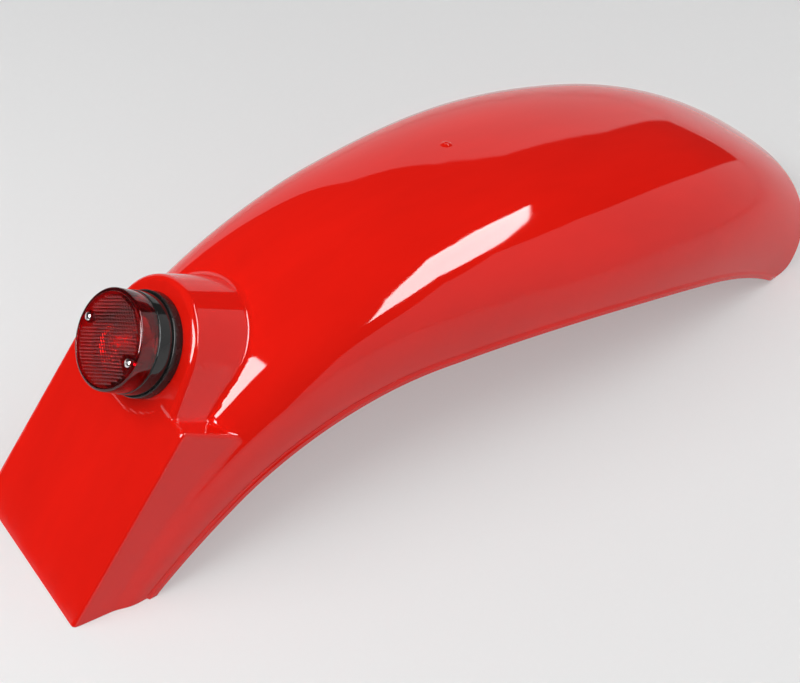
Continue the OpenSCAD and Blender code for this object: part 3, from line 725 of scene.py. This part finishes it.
        loops = [loop]
        ladder = [(0, k / self.EDGE_STEPS) for k in range(1, self.EDGE_STEPS + 1)]
        ladder += [(1, k / self.EDGE_STEPS) for k in range(self.EDGE_STEPS, 0, -1)]
        for side, part in ladder:
            ring, n = arc(verts[side][loop], normals[side][loop], part)
            loops.append(2 * count + (len(loops) - 1) * len(loop) + np.arange(len(loop)))
            verts.append(ring)
            normals.append(n)
        loops.append(count + loop)
        a, b, c, d = grid[:-1, :-1], grid[1:, :-1], grid[1:, 1:], grid[:-1, 1:]
        faces = [np.stack([a, b, c, d], -1).reshape(-1, 4), count + np.stack([a, d, c, b], -1).reshape(-1, 4)]
        for one, two in zip(loops[:-1], loops[1:]):
            faces.append(np.stack([one, np.roll(one, -1), np.roll(two, -1), two], -1))
        return np.concatenate(verts), np.concatenate(faces), np.concatenate(normals)


# Making pieces

def shell_form():
    if "form" not in PARTS:
        PARTS["form"] = ShellForm(bpy.context.scene.fender_shape)
    return PARTS["form"]


def pad_place():
    """The matrix from the lamp's own place, with its axis along Z from the pad, to the row frame."""
    c, lamp, form = bpy.context.scene.fender_shape, bpy.context.scene.lamp_shape, shell_form()
    return (Matrix.Translation((-form.length / 2, 0, 0)) @ Matrix.Rotation(-c.plate_slope, 4, "Y")
            @ Matrix.Translation((c.lamp_p, 0, c.pad_raise)) @ Matrix.Rotation(-c.pad_tilt, 4, "Y")
            @ Matrix.Translation((0, 0, lamp.seat_gap)))


def add_piece(name, mesh, slot, replaced=(), matrix=None):
    """Puts a mesh into the scene as a piece that rides on the part's one body."""
    piece = bpy.data.objects.new(name, mesh)
    bpy.context.scene.collection.objects.link(piece)
    if matrix is not None:
        mesh.transform(matrix)
    mesh.materials.clear()
    mesh.materials.append(finish_material(slot))
    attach(piece, BODY)
    if replaced:
        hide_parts(*replaced)
    return piece


ON_AXIS = 1e-7


def lathe(profile, steps=96, centre=(0, 0), bm=None, closed=True):
    """Turns a profile of (radius, height) points round the Z axis. Points on the axis are shared."""
    bm = bm or bmesh.new()
    turns = [2 * math.pi * k / steps for k in range(steps)]
    rings = []
    for radius, height in profile:
        if radius < ON_AXIS:
            rings.append([bm.verts.new((*centre, height))] * steps)
        else:
            rings.append([bm.verts.new((centre[0] + radius * math.cos(a), centre[1] + radius * math.sin(a), height))
                          for a in turns])
    for one, two in zip(rings, rings[1:] + rings[:closed]):
        if one[0] is one[1] and two[0] is two[1]:
            continue
        for k in range(steps):
            after = (k + 1) % steps
            corners = [one[k], one[after], two[after], two[k]]
            corners = [v for n, v in enumerate(corners) if v not in corners[:n]]
            if len(corners) > 2:
                bm.faces.new(corners)
    return bm


# The most of a side that the rounding of one corner may take
CORNER_SHARE = 0.75


def rounded(points, radius, steps=4):
    """A closed profile with each corner rounded. A point may carry its own radius as a third value."""
    result = []
    count = len(points)
    for i, point in enumerate(points):
        before, after = Vector(points[i - 1][:2]), Vector(points[(i + 1) % count][:2])
        corner = Vector(point[:2])
        r = point[2] if len(point) > 2 else radius
        a, b = (before - corner), (after - corner)
        if r <= 0 or point[0] < ON_AXIS or a.length < 1e-9 or b.length < 1e-9:
            result.append(tuple(corner))
            continue
        half = a.angle(b) / 2
        back = min(r / math.tan(half), a.length * CORNER_SHARE, b.length * CORNER_SHARE)
        r = back * math.tan(half)
        centre = corner + (a.normalized() + b.normalized()).normalized() * r / math.sin(half)
        first, last = corner + a.normalized() * back - centre, corner + b.normalized() * back - centre
        sweep = first.angle_signed(last)
        result += [tuple(centre + Matrix.Rotation(-sweep * k / steps, 2) @ first) for k in range(steps + 1)]
    return result


def finished_mesh(name, bm, sharp=40):
    """A mesh with outward faces, smooth but for edges sharper than the given angle."""
    bmesh.ops.recalc_face_normals(bm, faces=bm.faces)
    for face in bm.faces:
        face.smooth = True
    for edge in bm.edges:
        edge.smooth = (not edge.seam and len(edge.link_faces) == 2
                       and edge.calc_face_angle(0) < math.radians(sharp))
    mesh = bpy.data.meshes.new(name)
    bm.to_mesh(mesh)
    bm.free()
    return mesh


# Operators, one for each piece

class FENDER_OT_shell(bpy.types.Operator):
    """Builds the moulded shell"""
    bl_idname = "fender.shell"
    bl_label = "Moulded shell"

    def execute(self, context):
        form = shell_form()
        verts, faces, normals = ShellMesh(form).build()
        verts = verts - np.array([form.length / 2, 0, 0])
        verts = np.clip(verts, *CAD_BOX)
        if not np.isfinite(verts).all():
            raise RuntimeError("the shell has points with no place")
        mesh = bpy.data.meshes.new("fender_shell_skin")
        mesh.from_pydata(verts.tolist(), [], faces.tolist())
        mesh.polygons.foreach_set("use_smooth", np.ones(len(faces), bool))
        mesh.normals_split_custom_set_from_vertices(normals.tolist())
        add_piece("fender_shell_skin", mesh, "red_plastic", ["fender_shell"])
        return {"FINISHED"}


class FENDER_OT_gate_mark(bpy.types.Operator):
    """Builds the small mark that the moulding's gate left"""
    bl_idname = "fender.gate_mark"
    bl_label = "Gate mark"

    def execute(self, context):
        c, form = context.scene.fender_shape, shell_form()
        r, h = c.gate_d / 2, c.gate_h
        profile = [(0, -0.0005), (r * 1.5, -0.0005), (r * 1.5, 0), (r * 1.15, h * 0.15), (r * 0.85, h * 0.7),
                   (r * 0.6, h), (r * 0.35, h * 0.9), (r * 0.12, h * 0.6), (0, h * 0.6)]
        x, z, phi = (float(v) for v in form.crown_point(c.gate_s))
        spot = np.array([[x, c.gate_y, z + 0.001]])
        spot = onto(form.outside, spot, 6)
        way = Vector(unit(slope_of(form.outside, spot))[0])
        place = Matrix.Translation(Vector(spot[0]) - Vector((form.length / 2, 0, 0)))
        turn = way.to_track_quat("Z", "X").to_matrix().to_4x4()
        add_piece("gate_mark", finished_mesh("gate_mark", lathe(profile, 32), 80), "red_plastic",
                  matrix=place @ turn)
        return {"FINISHED"}


class FENDER_OT_lamp_base(bpy.types.Operator):
    """Builds the lamp base and the gasket under it"""
    bl_idname = "fender.lamp_base"
    bl_label = "Lamp base and gasket"

    def execute(self, context):
        lamp = context.scene.lamp_shape
        outer = lamp.lens_r + lamp.base_out
        bore, floor = outer - lamp.base_wall, lamp.gasket_floor
        top = floor + lamp.base_floor
        hole = lamp.holder_r + lamp.slide_gap
        ring = lamp.ring_r, lamp.ring_r + lamp.ring_wall
        profile = rounded([(hole, floor), (outer, floor), (outer, lamp.base_top, 0.0006), (bore, lamp.base_top),
                           (bore, top), (ring[1], top), (ring[1], lamp.ring_top), (ring[0], lamp.ring_top),
                           (ring[0], top), (hole, top)], 0.0003)
        bm = lathe(profile, 128)
        for side in (-1, 1):
            boss = rounded([(0, top - 0.001), (lamp.boss_r, top - 0.001), (lamp.boss_r, lamp.boss_top),
                            (0, lamp.boss_top)], 0.0003)
            lathe(boss, 40, (0, side * lamp.screw_offset), bm)
        add_piece("lamp_base_body", finished_mesh("lamp_base_body", bm), "black_plastic", ["lamp_base"], pad_place())
        collar = outer + lamp.slide_gap
        profile = rounded([(lamp.holder_r + 0.0005, 0), (collar + lamp.gasket_wall, 0, 0.0004),
                           (collar + lamp.gasket_wall, lamp.gasket_h, 0.0006), (collar, lamp.gasket_h, 0.0002),
                           (collar, floor), (lamp.holder_r + 0.0005, floor)], 0.0002)
        add_piece("lamp_gasket_collar", finished_mesh("lamp_gasket_collar", lathe(profile, 128)), "gasket_rubber",
                  ["lamp_gasket"], pad_place())
        return {"FINISHED"}


class FENDER_OT_lens(bpy.types.Operator):
    """Builds the lens with its prism field, plain rim, screw pads and posts"""
    bl_idname = "fender.lens"
    bl_label = "Lens"

    def execute(self, context):
        lamp = context.scene.lamp_shape
        foot = lamp.base_top + lamp.seal_t
        face_r = lamp.lens_r - lamp.lens_rim_w
        floor, roof = lamp.lamp_h - lamp.prism_sink, lamp.lamp_h - lamp.lens_face_t
        bore = lamp.lens_r - lamp.lens_wall
        steps = 128
        bm = bmesh.new()
        self.prism_field(bm, lamp, face_r, floor, steps)
        spigot = lamp.lens_r + lamp.base_out - lamp.base_wall - lamp.slide_gap
        body = rounded([(face_r, lamp.lamp_h, 0.0002), (lamp.lens_r, lamp.lamp_h, lamp.lens_edge_r),
                        (lamp.lens_r, foot), (spigot, foot), (spigot, foot - 0.002), (spigot - 0.002, foot - 0.002),
                        (spigot - 0.002, foot + 0.001), (bore, foot + 0.001), (bore, roof, 0.0006)], 0.0002)
        body = [(face_r, floor)] + body + [(0, roof)]
        lathe(body, steps, bm=bm, closed=False)
        bmesh.ops.remove_doubles(bm, verts=bm.verts, dist=1e-6)
        for side in (-1, 1):
            post = rounded([(0, lamp.boss_top), (lamp.post_r, lamp.boss_top), (lamp.post_r, roof - 0.00005),
                            (0, roof - 0.00005)], 0.0003)
            lathe(post, 40, (0, side * lamp.screw_offset), bm)
        mesh = finished_mesh("lens_prismatic", bm, 46)
        add_piece("lens_prismatic", mesh, "lens_red", ["lens"], pad_place())
        return {"FINISHED"}

    # Half of a prism's width and height, in pitches, and its height as a share of the field's depth
    PRISM_X, PRISM_Y, PRISM_RISE = 0.48, 0.74, 0.62
    # Steps of the loops round the screws, the slope of the pads' edges and the gap round the screws' heads
    PAD_STEPS, EDGE_SLOPE, HEAD_GAP = 40, 0.0002, 0.0003

    def prism_field(self, bm, lamp, face_r, floor, steps):
        """A field of four-sided pyramids inside the rim, with plain pads and recesses for the two screws."""
        pitch, peak = lamp.prism_pitch, floor + lamp.prism_sink * self.PRISM_RISE
        sites = [Vector((0, side * lamp.screw_offset)) for side in (-1, 1)]
        points, heights, edges = [], [], []

        def dot(x, y, height):
            points.append(Vector((x, y)))
            heights.append(height)
            return len(points) - 1

        def loop(centre, radius, count, height):
            first = len(points)
            for a in (2 * math.pi * k / count for k in range(count)):
                dot(centre[0] + radius * math.cos(a), centre[1] + radius * math.sin(a), height)
            edges.extend((first + k, first + (k + 1) % count) for k in range(count))

        loop((0, 0), face_r, steps, floor)
        limit, pad_limit = face_r - 0.2 * pitch, lamp.screw_pad_r + 0.2 * pitch
        reach = 2 * (int(face_r / pitch) + 2)
        span = range(-reach, reach + 1)
        cells = {}
        for i in span:
            for j in span:
                spot = Vector((i * pitch * self.PRISM_X, j * pitch * self.PRISM_Y))
                clear = spot.length < limit and all((spot - site).length > pad_limit for site in sites)
                if clear and (i + j) % 2 == 0:
                    cells[i, j] = dot(*spot, floor)
        for (i, j), k in cells.items():
            beside = (i + 1, j + 1), (i + 1, j - 1)
            edges.extend((k, cells[other]) for other in beside if other in cells)
            if all(other in cells for other in (*beside, (i + 2, j))):
                dot((i + 1) * pitch * self.PRISM_X, j * pitch * self.PRISM_Y, peak)
        recess_r = lamp.screw_head_r + self.HEAD_GAP
        for site in sites:
            for radius, height in ((lamp.screw_pad_r, floor), (lamp.screw_pad_r - self.EDGE_SLOPE, lamp.lamp_h),
                                   (recess_r, lamp.lamp_h),
                                   (recess_r - self.EDGE_SLOPE, lamp.lamp_h - lamp.screw_sink)):
                loop(site, radius, self.PAD_STEPS, height)
        out, _, tris, origin, _, _ = geometry.delaunay_2d_cdt(points, edges, [], 0, 1e-7)
        levels = [heights[source[0]] if source else floor for source in origin]
        made = [bm.verts.new((p.x, p.y, level)) for p, level in zip(out, levels)]
        peaks = {vert for vert, level in zip(made, levels) if level == peak}
        for tri in tris:
            face = bm.faces.new([made[k] for k in tri])
            if peaks.intersection(face.verts):
                for edge in face.edges:
                    edge.seam = True


class FENDER_OT_lens_screws(bpy.types.Operator):
    """Builds the two lens screws with domed, slotted heads"""
    bl_idname = "fender.lens_screws"
    bl_label = "Lens screws"
    SLOT_TURN = math.radians(35)

    def execute(self, context):
        lamp = context.scene.lamp_shape
        foot, head_r, head_h = lamp.lamp_h - lamp.screw_sink, lamp.screw_head_r, lamp.screw_head_h
        for side, node in ((1, "lens_screw_left"), (-1, "lens_screw_right")):
            dome = [(head_r * math.sin(a), foot + head_h * (0.35 + 0.65 * math.cos(a)))
                    for a in (math.radians(d) for d in range(90, 0, -10))]
            profile = [(0, foot - 0.012), (0.0013, foot - 0.012), (0.0016, foot - 0.011), (0.0016, foot),
                       (head_r * 0.97, foot), (head_r, foot + 0.0002)] + dome + [(0, foot + head_h)]
            bm = lathe(profile, 48)
            mesh = finished_mesh(node + "_chrome", bm)
            piece = add_piece(node + "_chrome", mesh, "chrome_screw", [node], self.screw_place(lamp, side, 0))
            self.cut_slot(piece, lamp, self.screw_place(lamp, side, foot + head_h))
        return {"FINISHED"}

    def screw_place(self, lamp, side, height):
        """The matrix to a height on a screw's axis, turned like its slot."""
        return (pad_place() @ Matrix.Translation((0, side * lamp.screw_offset, height))
                @ Matrix.Rotation(self.SLOT_TURN * side, 4, "Z"))

    def cut_slot(self, piece, lamp, place):
        """Cuts the slot across a screw's head."""
        bm = bmesh.new()
        bmesh.ops.create_cube(bm, size=1)
        bmesh.ops.scale(bm, vec=(4 * lamp.screw_head_r, lamp.slot_w, 2 * lamp.slot_d), verts=bm.verts)
        cutter_mesh = bpy.data.meshes.new("slot_cutter")
        bm.to_mesh(cutter_mesh)
        bm.free()
        cutter_mesh.transform(place)
        cutter = bpy.data.objects.new("slot_cutter", cutter_mesh)
        bpy.context.scene.collection.objects.link(cutter)
        cut = piece.modifiers.new("slot", "BOOLEAN")
        cut.operation, cut.solver, cut.object = "DIFFERENCE", "EXACT", cutter
        bpy.context.view_layer.update()
        carved = bpy.data.meshes.new_from_object(piece.evaluated_get(bpy.context.evaluated_depsgraph_get()))
        piece.modifiers.clear()
        piece.data = carved
        bpy.data.objects.remove(cutter)


class FENDER_OT_inner_parts(bpy.types.Operator):
    """Gives the CAD pieces that stay their finishes"""
    bl_idname = "fender.inner_parts"
    bl_label = "Finishes of the inner parts"

    def execute(self, context):
        slots = {s["node"]: s["material_slot"] for s in frame["record"]["subparts"]}
        for name, node in frame["nodes"].items():
            if node.hide_render:
                continue
            if name not in slots:
                raise RuntimeError(f"{name} has no material slot in the record")
            node.data.materials.clear()
            node.data.materials.append(finish_material(slots[name]))
        return {"FINISHED"}


class FENDER_OT_stage(bpy.types.Operator):
    """Sets the floor, the studio lights, the world, the camera and the view"""
    bl_idname = "fender.stage"
    bl_label = "Studio"

    # The photograph's camera: its direction from the part, its roll, its distance, and the point that it looks at
    TURN, LIFT, ROLL = math.radians(54.88), math.radians(44.96), math.radians(-1.47)
    DISTANCE, TARGET_X, TARGET_Z = 1.06968, 0.31241, 0.02021
    SENSOR_MM, FOCAL_MM = 36, 63.966
    # Half of the floor's side
    FLOOR_REACH = 9
    # Brightness, in gloss, of the room, of its pale walls and of its softboxes
    ROOM, WALLS, SOFTBOXES = 0.04, 0.6, 17
    # Brightness of the dome at the horizon, its fall up to the top, and what is added where it is seen
    DOME, DOME_FALL, DOME_SEEN = 0.58, 0.2, 0.3
    # Half of the width over which a pane's edge fades, as a share of the distance
    PANE_EDGE = 0.004

    def execute(self, context):
        self.camera(context)
        self.floor(context)
        self.lights(context)
        self.world(context)
        context.scene.view_settings.view_transform = "Standard"
        return {"FINISHED"}

    def camera(self, context):
        """The camera that was fitted to the photograph."""
        turn, lift, roll = self.TURN, self.LIFT, self.ROLL
        target = Vector((self.TARGET_X - shell_form().length / 2, 0, self.TARGET_Z))
        back = Vector((-math.cos(lift) * math.cos(turn), -math.cos(lift) * math.sin(turn), math.sin(lift)))
        right = Vector((math.sin(turn), -math.cos(turn), 0))
        up = back.cross(right)
        right, up = (math.cos(roll) * right + math.sin(roll) * up,
                     math.cos(roll) * up - math.sin(roll) * right)
        data = bpy.data.cameras.new("camera")
        data.sensor_width, data.lens = self.SENSOR_MM, self.FOCAL_MM
        data.clip_start, data.clip_end = 0.05, 50
        camera = bpy.data.objects.new("camera", data)
        place = Matrix((right, up, back)).transposed().to_4x4()
        place.translation = target + back * self.DISTANCE
        camera.matrix_world = place
        context.scene.collection.objects.link(camera)
        context.scene.camera = camera

    def floor(self, context):
        """A wide plain floor. Where it is seen, straight, in gloss and through clear parts, a painted glow lightens
        its shadow; the glow is painted brighter towards the camera and dimmer away from it.
        """
        tint = context.scene.fender_finish.floor
        reach = self.FLOOR_REACH
        bm = bmesh.new()
        bm.faces.new([bm.verts.new((reach * x, reach * y, 0)) for x, y in ((-1, -1), (1, -1), (1, 1), (-1, 1))])
        mesh = bpy.data.meshes.new("studio_floor")
        bm.to_mesh(mesh)
        bm.free()
        floor = bpy.data.objects.new("studio_floor", mesh)
        floor.rotation_euler.z = self.TURN
        context.scene.collection.objects.link(floor)
        g = Finish("studio_floor", Roughness=0.75, Specular_IOR_Level=0.15, Emission_Strength=1.0)
        fall = g.band(g.noise(1.3, 2), 0.3, 0.7)
        base = g.between(fall, shade_of(tint, 0.62), shade_of(tint, 0.64))
        away = g.add("ShaderNodeSeparateXYZ", {}, {"Vector": g.place()})
        # Painted light: an emitted glow, brighter near the camera and dimmer away from it, lightens the floor's
        # shadow where it is seen
        painted_glow = g.between(g.band(away, -0.35, 0.6), shade_of(tint, 0.43), shade_of(tint, 0.34))
        g.feed(Base_Color=base, Emission_Color=g.between(self.seen(g, "Is Glossy Ray"), (0, 0, 0), painted_glow))
        mesh.materials.append(g.material)

    def lights(self, context):
        """Two long softboxes overhead: one in front of the part, one behind its tail."""
        self.softbox("front_softbox", (0.487, -0.546, 1.30), 52, (1.64, 0.30), 3.6)
        self.softbox("tail_softbox", (-1.04, 0.25, 1.30), 90, (1.60, 0.60), 5)

    def softbox(self, name, place, turn, size, radiance):
        """An area light that faces down, with its brightness given as that of its surface."""
        data = bpy.data.lights.new(name, "AREA")
        data.shape, data.size, data.size_y = "RECTANGLE", size[0], size[1]
        data.energy = radiance * math.pi * size[0] * size[1]
        lamp = bpy.data.objects.new(name, data)
        lamp.location, lamp.rotation_euler = place, (0, 0, math.radians(turn))
        lamp.visible_camera = lamp.visible_glossy = False
        bpy.context.scene.collection.objects.link(lamp)

    def world(self, context):
        """A soft dome of light. Gloss shows a dim room instead, with two pale walls and two bright softboxes."""
        world = bpy.data.worlds.new("studio")
        context.scene.world = world
        world.use_nodes = True
        g = Graph(world.node_tree)
        way = g.add("ShaderNodeTexCoord", output="Generated")
        side_wall = self.pane(g, way, (-101, -25), (-91, 16), (-72, 39), (-40, 52.5), (-12, 44), (3, 28),
                              (17, -1), (17, -25))
        far_wall = self.pane(g, way, (30, -15), (34, 14), (41, 27), (48, 31), (62, 29), (80, 18), (95, 0),
                             (100, -15))
        front_box = self.pane(g, way, (-88, 38), (0.4, 51.2), (15, 47), (4, 58.5), (-21, 65), (-65, 61.5),
                              (-79, 54))
        tail_box = self.pane(g, way, (-142, 58), (-150.5, 47), (-163, 33), (172, 28), (155, 40), (157, 57),
                             (-171, 63))
        room = (self.ROOM + self.WALLS * side_wall.highest(far_wall)
                + self.SOFTBOXES * front_box.highest(tail_box))
        glossy = g.add("ShaderNodeLightPath", output="Is Glossy Ray")
        height = g.add("ShaderNodeSeparateXYZ", {}, {"Vector": way}, output="Z")
        dome = self.DOME - self.DOME_FALL * height + self.DOME_SEEN * self.seen(g)
        background = world.node_tree.nodes["Background"].inputs
        g.join(glossy * room + (1 - glossy) * dome, background["Strength"])
        background["Color"].default_value = (0.99, 0.995, 1, 1)

    def seen(self, g, *others):
        """1 where the camera looks, straight or through something clear, and for the other rays named."""
        rays = [g.add("ShaderNodeLightPath", output=ray) for ray in ("Is Transmission Ray",) + others]
        return g.add("ShaderNodeLightPath", output="Is Camera Ray").highest(*rays)

    def pane(self, g, way, *corners):
        """1 for directions inside a flat-sided pane, and 0 outside. Corners are (turn, height) in degrees."""
        spots = [Vector((math.cos(turn) * math.cos(lift), math.sin(turn) * math.cos(lift), math.sin(lift)))
                 for turn, lift in ((math.radians(a), math.radians(b)) for a, b in corners)]
        middle = sum(spots, Vector())
        mask = 1
        for one, two in zip(spots, spots[1:] + spots[:1]):
            edge = one.cross(two).normalized()
            edge *= math.copysign(1, edge.dot(middle))
            inward = g.add("ShaderNodeVectorMath", {"operation": "DOT_PRODUCT"}, {0: way, 1: edge}, output=1)
            mask = mask * g.band(inward, -self.PANE_EDGE, self.PANE_EDGE)
        return mask


class FENDER_PT_panel(bpy.types.Panel):
    """Lists the fender's sizes and its builders"""
    bl_idname = "FENDER_PT_panel"
    bl_label = "Rear fender"
    bl_space_type = "VIEW_3D"
    bl_region_type = "UI"
    bl_category = "Fender"

    def draw(self, context):
        scene = context.scene
        for group in (scene.fender_shape, scene.lamp_shape, scene.fender_finish):
            box = self.layout.box()
            for name in group.__annotations__:
                box.prop(group, name)
        for operator in BUILDERS:
            self.layout.operator(operator.bl_idname)


BUILDERS = (FENDER_OT_shell, FENDER_OT_gate_mark, FENDER_OT_lamp_base, FENDER_OT_lens, FENDER_OT_lens_screws,
            FENDER_OT_inner_parts, FENDER_OT_stage)
GROUPS = {"fender_shape": FenderShape, "lamp_shape": LampShape, "fender_finish": FenderFinish}


def register():
    for group in GROUPS.values():
        bpy.utils.register_class(group)
    for name, group in GROUPS.items():
        setattr(bpy.types.Scene, name, bpy.props.PointerProperty(type=group))
    for item in (*BUILDERS, FENDER_PT_panel):
        bpy.utils.register_class(item)


def unregister():
    for item in (FENDER_PT_panel, *reversed(BUILDERS)):
        bpy.utils.unregister_class(item)
    for name, group in GROUPS.items():
        delattr(bpy.types.Scene, name)
        bpy.utils.unregister_class(group)


def main():
    """Builds every piece and the stage."""
    register()
    bpy.ops.fender.shell()
    bpy.ops.fender.gate_mark()
    bpy.ops.fender.lamp_base()
    bpy.ops.fender.lens()
    bpy.ops.fender.lens_screws()
    bpy.ops.fender.inner_parts()
    bpy.ops.fender.stage()
    bpy.context.view_layer.update()


if __name__ == "__main__":
    main()
